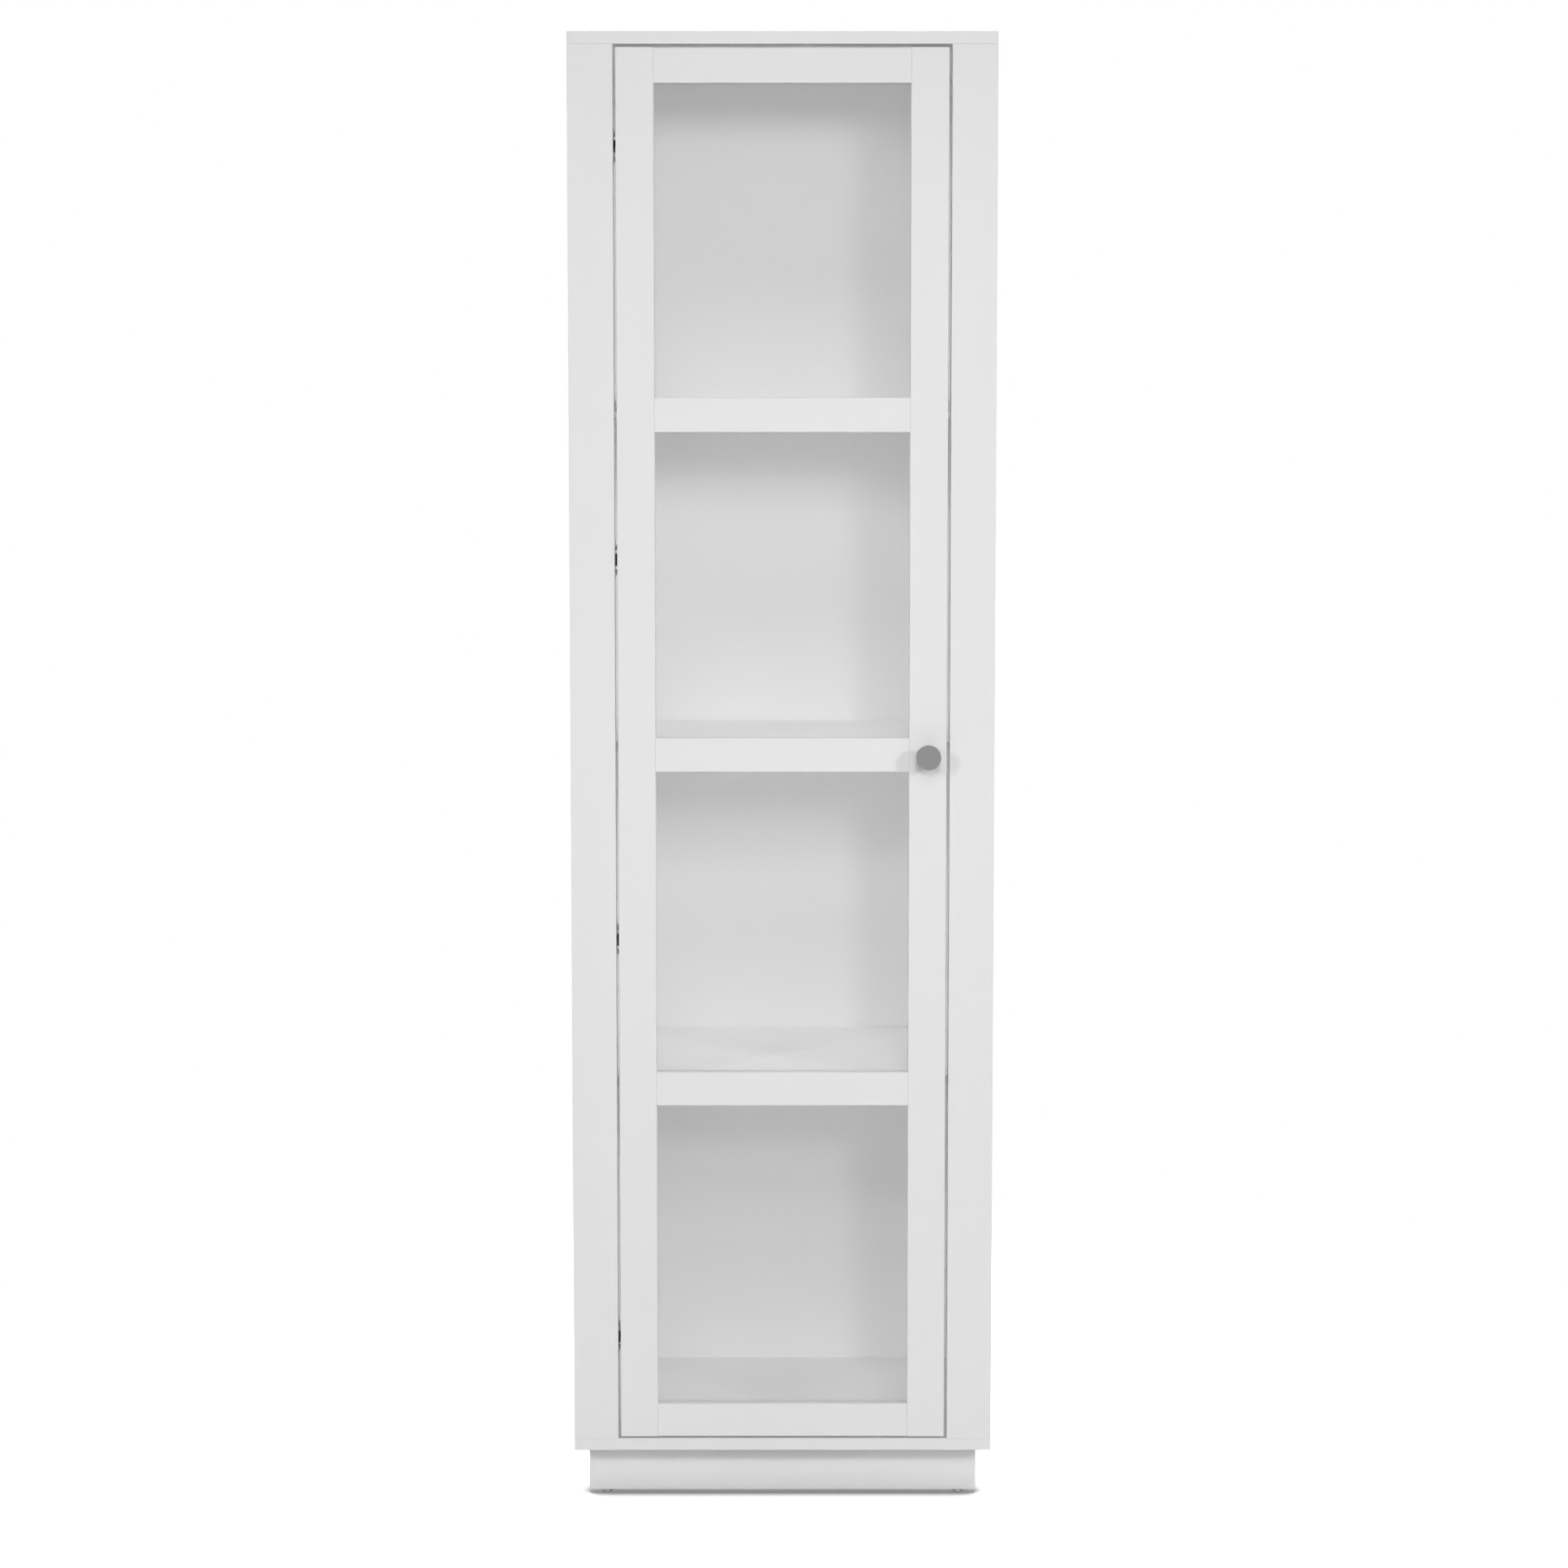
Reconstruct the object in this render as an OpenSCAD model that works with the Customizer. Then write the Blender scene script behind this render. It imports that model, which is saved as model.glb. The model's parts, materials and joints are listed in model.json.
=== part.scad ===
// Tall display cabinet with one inset glazed door, three shelves and a recessed plinth.
// X runs across the front, Y from front to back and Z up. The origin is on the floor,
// under the middle of the whole outline, knob included.

/* [Carcass] */
// Width over the two front stiles
cab_w = 546; // [500:1:620]
// Height from the floor to the top face
cab_h = 1900; // [1700:1:2060]
// Depth from the front face to the back edges
cab_d = 400; // [340:1:460]
// Thickness of the top, bottom and side panels
panel_t = 16; // [15:1:19]
// Width of each front stile
stile_w = 58; // [54:1:66]
// Thickness of each front stile
stile_t = 20; // [19:0.5:20.5]
// Radius of the eased edges of the boards
ease_r = 1.2; // [0.8:0.1:1.6]
// Radius of the top and bottom panels' corners seen from above
corner_r = 2; // [1:0.5:4]

/* [Back] */
// Thickness of the back panel
back_t = 4; // [3:0.5:5]
// Distance from the back edges to the back panel
back_inset = 13; // [8:1:20]
// Depth of the groove that holds the back panel
groove_depth = 6; // [4:0.5:7]

/* [Shelves] */
// Thickness of each shelf
shelf_t = 15; // [14:1:18]
// Distance from one shelf to the next
shelf_pitch = 438; // [410:1:460]
// Height of the middle shelf's top above the door's middle
shelf_rise = 16.6; // [12:0.1:24]
// Distance from the front face to the shelves' front edges
shelf_setback = 21; // [20.6:0.1:24]
// Gap at each end of a shelf
shelf_gap = 0.5; // [0.3:0.1:1]
// Gap between a shelf and the back panel
shelf_back_gap = 1; // [0.5:0.1:3]
// Radius of a shelf support's peg
peg_r = 2.5; // [2:0.25:3]
// Depth that a peg goes into the side panel
peg_depth = 9; // [7:0.5:11]
// Length of a support under the shelf
peg_reach = 9; // [7:1:12]
// Distance from a shelf's front edge to the front supports
peg_front = 62; // [60:1:90]
// Distance from a shelf's back edge to the back supports
peg_back = 40; // [25:1:60]

/* [Plinth] */
// Height of the plinth boards
plinth_h = 63; // [50:1:80]
// Thickness of the plinth boards
plinth_t = 16; // [14:1:19]
// Distance that the plinth stands in from the sides and the back
plinth_inset = 18; // [12:1:30]
// Distance that the plinth stands back from the front face
plinth_setback = 30; // [20:1:45]
// Height of a glide under the plinth
glide_h = 4; // [3:0.5:6]
// Radius of a glide
glide_r = 7; // [5:0.5:7]
// Distance from the plinth's side to a glide's middle
glide_in = 23; // [18:1:40]
// Width of a corner block inside the plinth
block_w = 30; // [24:1:36]
// Height of a corner block inside the plinth
block_h = 40; // [30:1:45]

/* [Door] */
// Thickness of the door
door_t = 18; // [17:0.5:18.5]
// Gap beside the hinge edge
gap_hinge = 3.2; // [3:0.1:4]
// Gap beside the knob edge
gap_knob = 3.6; // [2.5:0.1:5]
// Gap above the door
gap_top = 4.4; // [2:0.1:6]
// Gap below the door
gap_bottom = 2.6; // [2:0.1:4]
// Width of the door's stiles
door_stile_w = 48.5; // [48:0.5:60]
// Height of the door's rails
rail_h = 44; // [38:1:60]
// Distance between the middle rails
rail_pitch = 435.4; // [410:0.1:460]
// Width of the rebate that holds the glass
rebate_w = 7; // [6:0.5:7]
// Thickness of wood in front of the glass
lip_t = 8; // [7:0.5:9]
// Thickness of the glass
glass_t = 4; // [3:0.5:5]
// Gap between the glass and the rebate's edge
glass_gap = 0.8; // [0.5:0.1:1]
// Chamfer on the glazing beads
bead_chamfer = 2; // [1:0.5:3]
// Distance between the two dowels at each end of a rail
rail_dowel_pitch = 16; // [14:0.5:17]

/* [Knob] */
// Radius of the knob's face
knob_r = 16; // [12:0.5:18]
// Distance that the knob stands out from the door
knob_reach = 26; // [20:1:32]
// Thickness of the knob's head
knob_head = 8; // [5:0.5:10]
// Radius of the knob's neck
neck_r = 6; // [5:0.5:7]
// Radius of the knob's foot on the door
knob_foot_r = 9; // [7.5:0.5:11]
// Height of the knob's foot, up to where it meets the neck
knob_foot_h = 3.5; // [3:0.5:5]
// Thickness of the rim of the knob's foot
knob_foot_t = 1.5; // [1:0.5:2.5]
// Radius of the flare from the neck to the head
flare_r = 5; // [3:0.5:6]
// Radius of the eased rim round the knob's face
knob_rim_r = 1.2; // [0.8:0.1:2]
// Height of the knob's middle above the door's middle
knob_rise = -2; // [-15:1:15]

/* [Hinges] */
// Height of an arm, which shows in the gap beside the door
arm_h = 15.6; // [14:0.1:17]
// Thickness of an arm's steel
arm_t = 2.6; // [2:0.1:2.8]
// Distance of the pin's axis from the door's hinge edge
pivot_in = 7.6; // [7.6:0.1:8.2]
// Distance of the pin's axis behind the door's front face
pivot_deep = 7.6; // [7.2:0.1:7.7]
// Radius of a hinge pin
pin_r = 1.5; // [1.2:0.1:1.6]
// Running clearance round a pin
pin_clear = 0.05; // [0.03:0.01:0.08]
// Radius of the eye round a pin
eye_r = 2.9; // [2.6:0.1:3]
// Length of an arm's neck, from the pin to the elbow
neck_len = 14.4; // [14:0.1:14.8]
// Distance from an arm's elbow back to its knee
knee_run = 9; // [8:0.5:11]
// Radius of a cup
cup_r = 17.4; // [15:0.1:17.5]
// Distance from the door's hinge edge to a cup
cup_in = 4.1; // [4:0.1:4.4]
// Depth of a cup
cup_depth = 12; // [11:0.5:12.5]
// Thickness of a cup's wall, floor and flange
cup_wall = 1.2; // [1:0.1:1.5]
// Distance between a cup's two screws
cup_screw_pitch = 48; // [45:1:52]
// Clearance between an arm and its cup, and between a cup and the wood
hinge_clear = 0.3; // [0.2:0.05:0.4]
// Distance from the door's bottom edge to the lowest hinge
hinge_low = 125.5; // [100:0.5:140]
// Distance from the door's top edge to the highest hinge
hinge_high = 120; // [100:0.5:140]
// Distance from each end hinge to the next
hinge_step = 527; // [500:1:550]
// Thickness of a mounting plate
plate_t = 2.5; // [2:0.1:3]
// Length of a mounting plate
plate_len = 40; // [38:1:43]
// Distance from the front stile's back to a mounting plate
plate_gap = 6; // [5:0.5:7]
// Distance between a mounting plate's two screws
plate_screw_pitch = 32; // [30:1:36]
// Depth of a hinge block behind the front stile
hinge_block_d = 50; // [46:1:56]
// Height of a hinge block
hinge_block_h = 80; // [70:1:100]

/* [Fixings] */
// Radius of the carcass dowels
dowel_r = 4; // [3:0.25:4]
// Distance from a side panel's ends to its outer dowels
dowel_row_in = 40; // [30:1:60]
// Distance from the cabinet's side to the dowel in each front stile
stile_dowel_in = 35; // [30:1:40]
// Radius of the door's dowels
door_dowel_r = 3; // [2.5:0.25:3]
// Depth that a door dowel goes into the wood on each side
door_dowel_in = 18; // [14:1:20]
// Gap round a dowel and at its end
dowel_gap = 0.1; // [0.05:0.01:0.2]
// Gap round a screw, a peg or a nail
fit_clear = 0.05; // [0.03:0.01:0.1]
// Length of a dowel inside a panel's face
dowel_in_face = 10; // [8:0.5:11]
// Length of a dowel inside a panel's end
dowel_in_end = 22; // [16:1:24]
// Radius of a wood screw's shank
screw_r = 1.75; // [1.5:0.05:1.9]
// Radius of a wood screw's head
screw_head_r = 3.6; // [3.2:0.1:3.8]
// Radius of a door bumper
bumper_r = 4; // [3:0.5:5]

/* [Hidden] */
$fn = 48;
eps = 0.01;

// Places shared by the carcass and the door
front_y = (knob_reach - cab_d) / 2;
plinth_z = glide_h;
bottom_z = plinth_z + plinth_h;
floor_z = bottom_z + panel_t;
ceiling_z = cab_h - panel_t;
inner_x = cab_w / 2 - panel_t;
opening_x = cab_w / 2 - stile_w;
back_y = cab_d - back_inset - back_t;
plinth_x = cab_w / 2 - plinth_inset;
plinth_back_y = cab_d - plinth_inset;

// Door
door_left = gap_hinge - opening_x;
door_right = opening_x - gap_knob;
door_w = door_right - door_left;
door_z = floor_z + gap_bottom;
door_h = ceiling_z - gap_top - door_z;
door_mid = door_z + door_h / 2;
rail_len = door_w - 2 * door_stile_w;
rail_left = door_left + door_stile_w;
rail_right = rail_left + rail_len;
glass_y = lip_t;
bead_y = lip_t + glass_t;
function rail_z(i) =
    i == 0 ? door_z :
    i == 4 ? door_z + door_h - rail_h :
    door_mid + (i - 2) * rail_pitch - rail_h / 2;

// Shelves
shelf_d = back_y - shelf_back_gap - shelf_setback;
shelf_half = inner_x - shelf_gap;
function shelf_z(i) = door_mid + shelf_rise + (i - 1) * shelf_pitch - shelf_t;
peg_flat = 1;
peg_collar_r = peg_r + 1.5;
peg_collar_t = 1.2;
peg_tongue_r = peg_r + 0.5;

// Hinges, measured from the door's hinge edge and the front face
hinge_heights = [
    door_z + hinge_low,
    door_z + hinge_low + hinge_step,
    door_z + door_h - hinge_high - hinge_step,
    door_z + door_h - hinge_high
];
plate_sunk = 0.5;
plate_face = -gap_hinge - plate_sunk;
block_face = plate_face - plate_t;
block_x0 = -inner_x - door_left;
cup_fit = 0.1;
pocket_r = cup_r + cup_fit;
cup_x = cup_in + cup_r;
cup_flange_w = 1.6;
slot_x = pivot_in + eye_r + 2;
slot_h = arm_h + 2 * hinge_clear;
cheek_t = 1.8;
cheek_in = 0.2;
cheek_x = cup_in + cheek_in;
pocket_y = pivot_deep - eye_r;
cheek_y = pocket_y + cheek_in;
pin_len = slot_h + 2 * cheek_t;
plate_y0 = stile_t + plate_gap;
plate_y1 = plate_y0 + plate_len;
plate_margin = 1;
plate_corner_r = 3;
plate_wing_w = 12;
plate_wing_y = plate_y0 + 11;
plate_half_h = plate_screw_pitch / 2 + 8;
arm_lean = 15;
arm_elbow = [
    pivot_in + neck_len * sin(arm_lean),
    pivot_deep + neck_len * cos(arm_lean)
];
arm_web_x = plate_face + arm_t / 2;
arm_knee = [arm_web_x, arm_elbow[1] + knee_run];
arm_end = plate_y1 - 2;
arm_screw_y = plate_y1 - 12;
flange_w = 9;
flange_ramp = 14;
cup_screw_x = cup_x + 9.5;
cup_ear_r = 5;
screw_len = 14;

// Fixings
dowel_rows = [stile_t + dowel_row_in, cab_d / 2, cab_d - back_inset - dowel_row_in];
side_dowel_x = cab_w / 2 - panel_t / 2;
stile_dowel_x = cab_w / 2 - stile_dowel_in;
block_screw_up = 12;
bumper_x = door_right - door_stile_w / 2;
bumper_gap = 0.3;
bumper_t = shelf_setback - door_t - bumper_gap;
glide_rows = [plinth_setback + plinth_t / 2, plinth_back_y - plinth_t / 2];
knob_x = door_right - door_stile_w / 2;
knob_z = door_mid + knob_rise;
knob_screw_r = 2;
knob_screw_in = 14;
knob_screw_clear = 0.25;
nail_r = 1.2;
nail_len = 12;
bead_gap = 0.1;
arm_screw_r = 2.5;
flange_t = 1.5;
hole_end = 0.5;

white_paint = "#dcdcdc";
board_edge = "#d2d2d2";
steel = "#8f8f8d";
nickel = "#929292";
beech = "#cdb48c";
clear_glass = [0.85, 0.9, 0.9, 0.3];
plastic_grey = "#b8b8b8";
silicone = "#c8c8c8";

// Moves a shape measured from the front face into the part's own frame
module from_front() {
    translate([0, front_y, 0]) children();
}

// Moves a shape measured from the door's hinge edge to one hinge's height
module at_hinge(i) {
    translate([door_left, 0, hinge_heights[i]]) children();
}

// Rectangle with its four corners rounded
module eased_rect(w, h, r) {
    translate([r, 0]) square([w - 2 * r, h]);
    translate([0, r]) square([w, h - 2 * r]);
    for (x = [r, w - r], y = [r, h - r]) translate([x, y]) circle(r);
}

// Extrudes an outline drawn across X and Z backwards along Y
module along_y(length) {
    translate([0, length, 0]) rotate([90, 0, 0]) linear_extrude(length) children();
}

// Extrudes an outline drawn across Y and Z to the right along X
module along_x(length) {
    rotate([90, 0, 90]) linear_extrude(length) children();
}

// Board with eased long edges: rounded as seen from above, from the front and from the side
module eased_board(size, r, plan_r) {
    intersection() {
        linear_extrude(size[2]) eased_rect(size[0], size[1], plan_r);
        along_y(size[1]) eased_rect(size[0], size[2], r);
        along_x(size[0]) eased_rect(size[1], size[2], r);
    }
}

// Upright board with its four long edges eased
module upright(w, d, h, r) {
    linear_extrude(h) eased_rect(w, d, r);
}

module drill_up(r, depth) {
    translate([0, 0, -eps]) cylinder(r = r, h = depth + eps);
}

// Holes for the upright dowels, as seen from the end of the side panels and stiles
module dowel_plan() {
    for (side = [-1, 1]) {
        for (y = dowel_rows) translate([side * side_dowel_x, y, 0]) children();
        translate([side * stile_dowel_x, stile_t / 2, 0]) children();
    }
}

// Top and bottom panels share their outline, groove and dowel holes
module end_panel(hole_z, groove_z) {
    difference() {
        translate([-cab_w / 2, 0, 0]) eased_board([cab_w, cab_d, panel_t], ease_r, corner_r);
        translate([-inner_x - groove_depth, back_y, groove_z])
            cube([2 * (inner_x + groove_depth), back_t, groove_depth + eps]);
        translate([0, 0, hole_z]) dowel_plan()
            cylinder(r = dowel_r + dowel_gap, h = dowel_in_face + dowel_gap + eps);
    }
}

module top_panel() {
    color(white_paint) from_front() translate([0, 0, ceiling_z]) end_panel(-eps, -eps);
}

module bottom_panel() {
    hole_z = panel_t - dowel_in_face - dowel_gap;
    color(white_paint) from_front() translate([0, 0, bottom_z]) difference() {
        end_panel(hole_z, panel_t - groove_depth);
        corner_block_places() drill_up(screw_r + fit_clear, block_screw_up + hole_end);
    }
}

// Side panel behind its front stile; side is -1 on the left and 1 on the right
module side_panel(side) {
    height = ceiling_z - floor_z;
    x0 = side < 0 ? -cab_w / 2 : inner_x;
    groove_x = side < 0 ? -inner_x - groove_depth : inner_x - eps;
    color(white_paint) from_front() difference() {
        translate([x0, stile_t, floor_z]) upright(panel_t, cab_d - stile_t, height, ease_r);
        translate([groove_x, back_y, floor_z - 1]) cube([groove_depth + eps, back_t, height + 2]);
        for (z = [floor_z - eps, ceiling_z - dowel_in_end - dowel_gap]) translate([0, 0, z])
            dowel_plan() cylinder(r = dowel_r + dowel_gap, h = dowel_in_end + dowel_gap + eps);
        for (i = [0 : 2]) support_places(i, side) rotate([0, 90 * side, 0])
            drill_up(peg_r + fit_clear, peg_depth + hole_end);
    }
}

module side_panel_left() { side_panel(-1); }
module side_panel_right() { side_panel(1); }

// Front stile of the carcass
module front_stile(side) {
    x0 = side < 0 ? -cab_w / 2 : opening_x;
    height = ceiling_z - floor_z;
    color(white_paint) from_front() difference() {
        translate([x0, 0, floor_z]) upright(stile_w, stile_t, height, ease_r);
        for (z = [floor_z - eps, ceiling_z - dowel_in_end - dowel_gap]) translate([0, 0, z])
            dowel_plan() cylinder(r = dowel_r + dowel_gap, h = dowel_in_end + dowel_gap + eps);
    }
}

module front_stile_left() { front_stile(-1); }
module front_stile_right() { front_stile(1); }

module back_panel() {
    reach = inner_x + groove_depth - dowel_gap * 5;
    rise = groove_depth - dowel_gap * 5;
    color(board_edge) from_front() translate([-reach, back_y, floor_z - rise])
        cube([2 * reach, back_t, ceiling_z - floor_z + 2 * rise]);
}

module carcass_dowels() {
    color(beech) from_front() dowel_plan() {
        translate([0, 0, floor_z - dowel_in_face]) cylinder(r = dowel_r, h = dowel_in_face + dowel_in_end);
        translate([0, 0, ceiling_z - dowel_in_end]) cylinder(r = dowel_r, h = dowel_in_face + dowel_in_end);
    }
}

// Places of the supports of one shelf on one side, level with the shelf's underside
module support_places(i, side) {
    for (y = [shelf_setback + peg_front, shelf_setback + shelf_d - peg_back])
        translate([side * inner_x, y, shelf_z(i) - peg_flat]) children();
}

module shelf(i) {
    color(white_paint) from_front() translate([-shelf_half, shelf_setback, shelf_z(i)])
        eased_board([2 * shelf_half, shelf_d, shelf_t], ease_r, ease_r);
}

module shelf_lower() { shelf(0); }
module shelf_middle() { shelf(1); }
module shelf_upper() { shelf(2); }

// Peg in the side panel with a collar and a tongue, both flat on top where the shelf rests
module shelf_support(side) {
    rotate([0, 90 * side, 0]) cylinder(r = peg_r, h = peg_depth);
    intersection() {
        rotate([0, -90 * side, 0]) union() {
            cylinder(r = peg_collar_r, h = peg_collar_t);
            cylinder(r = peg_tongue_r, h = peg_reach);
        }
        translate([-peg_reach * 1.5, -peg_reach, -peg_reach])
            cube([peg_reach * 3, peg_reach * 2, peg_reach + peg_flat]);
    }
}

module shelf_supports() {
    color(nickel) from_front() for (i = [0 : 2], side = [-1, 1])
        support_places(i, side) shelf_support(side);
}

// Places of the blocks that join the plinth's corners to the bottom panel
module corner_block_places() {
    x = plinth_x - plinth_t - block_w / 2;
    y0 = plinth_setback + plinth_t + block_w / 2;
    y1 = plinth_back_y - plinth_t - block_w / 2;
    for (side = [-1, 1], y = [y0, y1]) translate([side * x, y, 0]) children();
}

// Places of the glides, under the front and back plinth boards
module glide_places() {
    for (side = [-1, 1], y = glide_rows)
        translate([side * (plinth_x - glide_in), y, 0]) children();
}

module plinth_rail(y) {
    color(white_paint) from_front() difference() {
        translate([-plinth_x, y, plinth_z]) eased_board([2 * plinth_x, plinth_t, plinth_h], ease_r, ease_r);
        glide_places() translate([0, 0, plinth_z]) drill_up(nail_r + fit_clear, nail_len + hole_end);
    }
}

module plinth_front() { plinth_rail(plinth_setback); }
module plinth_back() { plinth_rail(plinth_back_y - plinth_t); }

module plinth_side(side) {
    y0 = plinth_setback + plinth_t;
    x0 = side < 0 ? -plinth_x : plinth_x - plinth_t;
    length = plinth_back_y - plinth_t - y0;
    color(white_paint) from_front() translate([x0, y0, plinth_z])
        along_y(length) eased_rect(plinth_t, plinth_h, ease_r);
}

module plinth_side_left() { plinth_side(-1); }
module plinth_side_right() { plinth_side(1); }

module plinth_corner_blocks() {
    color(beech) from_front() corner_block_places() translate([0, 0, bottom_z - block_h])
        difference() {
            translate([-block_w / 2, -block_w / 2, 0]) upright(block_w, block_w, block_h, ease_r);
            drill_up(screw_r + fit_clear, block_h + 1);
        }
}

// Pan-headed screw: its head is below zero and its shank points up
module pan_screw(length, r, head_r) {
    head_t = head_r * 0.55;
    rotate_extrude() polygon([
        [0, -head_t], [head_r * 0.7, -head_t], [head_r, -head_t * 0.45],
        [head_r, 0], [r, 0], [r, length - 2 * r], [0, length]
    ]);
}

module plinth_screws() {
    color(steel) from_front() corner_block_places() translate([0, 0, bottom_z - block_h])
        pan_screw(block_h + block_screw_up, screw_r, screw_head_r);
}

// Nail-on glides with a tapered foot
module glides() {
    foot_r = glide_r * 0.68;
    color(plastic_grey) from_front() glide_places() rotate_extrude() polygon([
        [0, 0], [foot_r, 0], [glide_r, glide_h * 0.6], [glide_r, glide_h],
        [nail_r, glide_h], [nail_r, glide_h + nail_len], [0, glide_h + nail_len]
    ]);
}

// Blocks that bring the mounting plates level with the front stile's inner edge
module hinge_blocks() {
    color(white_paint) from_front() for (i = [0 : 3]) at_hinge(i) difference() {
        translate([block_x0, stile_t, -hinge_block_h / 2])
            upright(block_face - block_x0, hinge_block_d, hinge_block_h, ease_r);
        plate_screw_places() rotate([0, -90, 0]) drill_up(screw_r + fit_clear, screw_len + hole_end);
    }
}

// Places of a mounting plate's two wood screws, on the block's face
module plate_screw_places() {
    for (z = [-plate_screw_pitch / 2, plate_screw_pitch / 2])
        translate([block_face, plate_wing_y, z]) children();
}

// Cross-shaped mounting plate
module hinge_plates() {
    web_h = arm_h + 2 * plate_margin;
    color(nickel) from_front() for (i = [0 : 3]) at_hinge(i) difference() {
        translate([block_face, 0, 0]) along_x(plate_t) {
            translate([plate_y0, -web_h / 2]) eased_rect(plate_len, web_h, plate_corner_r);
            translate([plate_wing_y - plate_wing_w / 2, -plate_half_h])
                eased_rect(plate_wing_w, 2 * plate_half_h, plate_corner_r);
        }
        plate_screw_places() rotate([0, 90, 0]) drill_up(screw_r + fit_clear, plate_t + 1);
        translate([block_face, arm_screw_y, 0]) rotate([0, 90, 0])
            drill_up(arm_screw_r + fit_clear, plate_t + 1);
    }
}

module hinge_plate_screws() {
    color(steel) from_front() for (i = [0 : 3]) at_hinge(i) plate_screw_places()
        translate([plate_t, 0, 0]) rotate([0, -90, 0]) pan_screw(screw_len, screw_r, screw_head_r);
}

// Outline of a strip of even thickness along a line of points, with mitred bends
function unit(v) = v / norm(v);
function left_of(v) = [-v[1], v[0]];
function heading(points, k) = unit(points[min(k + 1, len(points) - 1)] - points[min(k, len(points) - 2)]);
function mitre(points, k, t) =
    let (
        before = left_of(heading(points, max(k - 1, 0))),
        after = left_of(heading(points, k)),
        along = unit(before + after)
    )
    along * t / 2 / (along * before);

module strip(points, t) {
    last = len(points) - 1;
    polygon(concat(
        [for (k = [0 : last]) points[k] + mitre(points, k, t)],
        [for (k = [last : -1 : 0]) points[k] - mitre(points, k, t)]
    ));
}

// Cranked arm: an eye on the pin, a neck out of the cup and a channel on the mounting plate
module hinge_arm(i) {
    color(nickel) from_front() at_hinge(i) translate([0, 0, -arm_h / 2]) difference() {
        union() {
            linear_extrude(arm_h) {
                strip([[pivot_in, pivot_deep], arm_elbow, arm_knee, [arm_web_x, arm_end]], arm_t);
                translate([pivot_in, pivot_deep]) circle(eye_r);
            }
            for (z = [0, arm_h - flange_t]) translate([0, 0, z]) linear_extrude(flange_t) polygon([
                [arm_web_x, arm_knee[1]], [plate_face + flange_w, arm_knee[1] + flange_ramp],
                [plate_face + flange_w, arm_end], [arm_web_x, arm_end]
            ]);
        }
        translate([pivot_in, pivot_deep, 0]) drill_up(pin_r + pin_clear, arm_h + 1);
        translate([plate_face, arm_screw_y, arm_h / 2]) rotate([0, 90, 0])
            drill_up(arm_screw_r + fit_clear, arm_t + 1);
    }
}

module hinge_arm_1() { hinge_arm(0); }
module hinge_arm_2() { hinge_arm(1); }
module hinge_arm_3() { hinge_arm(2); }
module hinge_arm_4() { hinge_arm(3); }

module hinge_arm_screws() {
    color(steel) from_front() for (i = [0 : 3]) at_hinge(i)
        translate([plate_face + arm_t, arm_screw_y, 0]) rotate([0, -90, 0])
            pan_screw(arm_t + plate_t - hole_end, arm_screw_r, screw_head_r);
}

// Soft bumpers on the shelves' front edges, which stop the closed door
module door_bumpers() {
    color(silicone) from_front() for (i = [0 : 2])
        translate([bumper_x, shelf_setback, shelf_z(i) + shelf_t / 2])
            rotate([90, 0, 0]) rotate_extrude() polygon([
                [0, 0], [bumper_r, 0], [bumper_r, bumper_t * 0.5],
                [bumper_r * 0.75, bumper_t * 0.9], [bumper_r * 0.4, bumper_t], [0, bumper_t]
            ]);
}

// Holes for the dowels that join the rails to the door's stiles
module door_dowel_places() {
    for (i = [0 : 4], side = [-1, 1], x = [rail_left, rail_right])
        translate([x, door_t / 2, rail_z(i) + (rail_h + side * rail_dowel_pitch) / 2]) children();
}

module door_dowel_holes() {
    length = 2 * (door_dowel_in + dowel_gap);
    door_dowel_places() rotate([0, 90, 0])
        cylinder(r = door_dowel_r + dowel_gap, h = length, center = true);
}

// Stopped rebates for the four panes, cut in from the back
module glass_rebates() {
    for (i = [0 : 3]) {
        z0 = rail_z(i) + rail_h - rebate_w;
        translate([rail_left - rebate_w, lip_t, z0])
            cube([rail_len + 2 * rebate_w, door_t, rail_z(i + 1) + rebate_w - z0]);
    }
}

// Pocket in the hinge stile for a cup, with a slot to the edge for the arm
module hinge_pocket() {
    end_x = slot_x + cheek_in;
    translate([cup_x, door_t - cup_depth, 0]) rotate([-90, 0, 0]) cylinder(r = pocket_r, h = door_t);
    translate([-1, pocket_y, -slot_h / 2]) cube([end_x + 1, door_t, slot_h]);
    translate([cheek_x - hinge_clear, pocket_y, -slot_h / 2 - cheek_t - hinge_clear])
        cube([end_x - cheek_x + hinge_clear, door_t, slot_h + 2 * (cheek_t + hinge_clear)]);
}

// Places of a cup's two screws on the back of the door
module cup_screw_places() {
    for (z = [-cup_screw_pitch / 2, cup_screw_pitch / 2])
        translate([cup_screw_x, door_t, z]) children();
}

module door_stile_hinge() {
    color(white_paint) from_front() difference() {
        translate([door_left, 0, door_z]) upright(door_stile_w, door_t, door_h, ease_r);
        glass_rebates();
        door_dowel_holes();
        for (i = [0 : 3]) at_hinge(i) {
            hinge_pocket();
            cup_screw_places() rotate([90, 0, 0])
                drill_up(screw_r + fit_clear, screw_len - cup_wall + hole_end);
        }
    }
}

module door_stile_knob() {
    color(white_paint) from_front() difference() {
        translate([door_right - door_stile_w, 0, door_z]) upright(door_stile_w, door_t, door_h, ease_r);
        glass_rebates();
        door_dowel_holes();
        translate([knob_x, door_t, knob_z]) rotate([90, 0, 0])
            drill_up(knob_screw_r + knob_screw_clear, door_t + 1);
    }
}

module door_rail(i) {
    color(white_paint) from_front() difference() {
        translate([rail_left, 0, rail_z(i)]) along_x(rail_len) eased_rect(door_t, rail_h, ease_r);
        glass_rebates();
        door_dowel_holes();
    }
}

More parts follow.
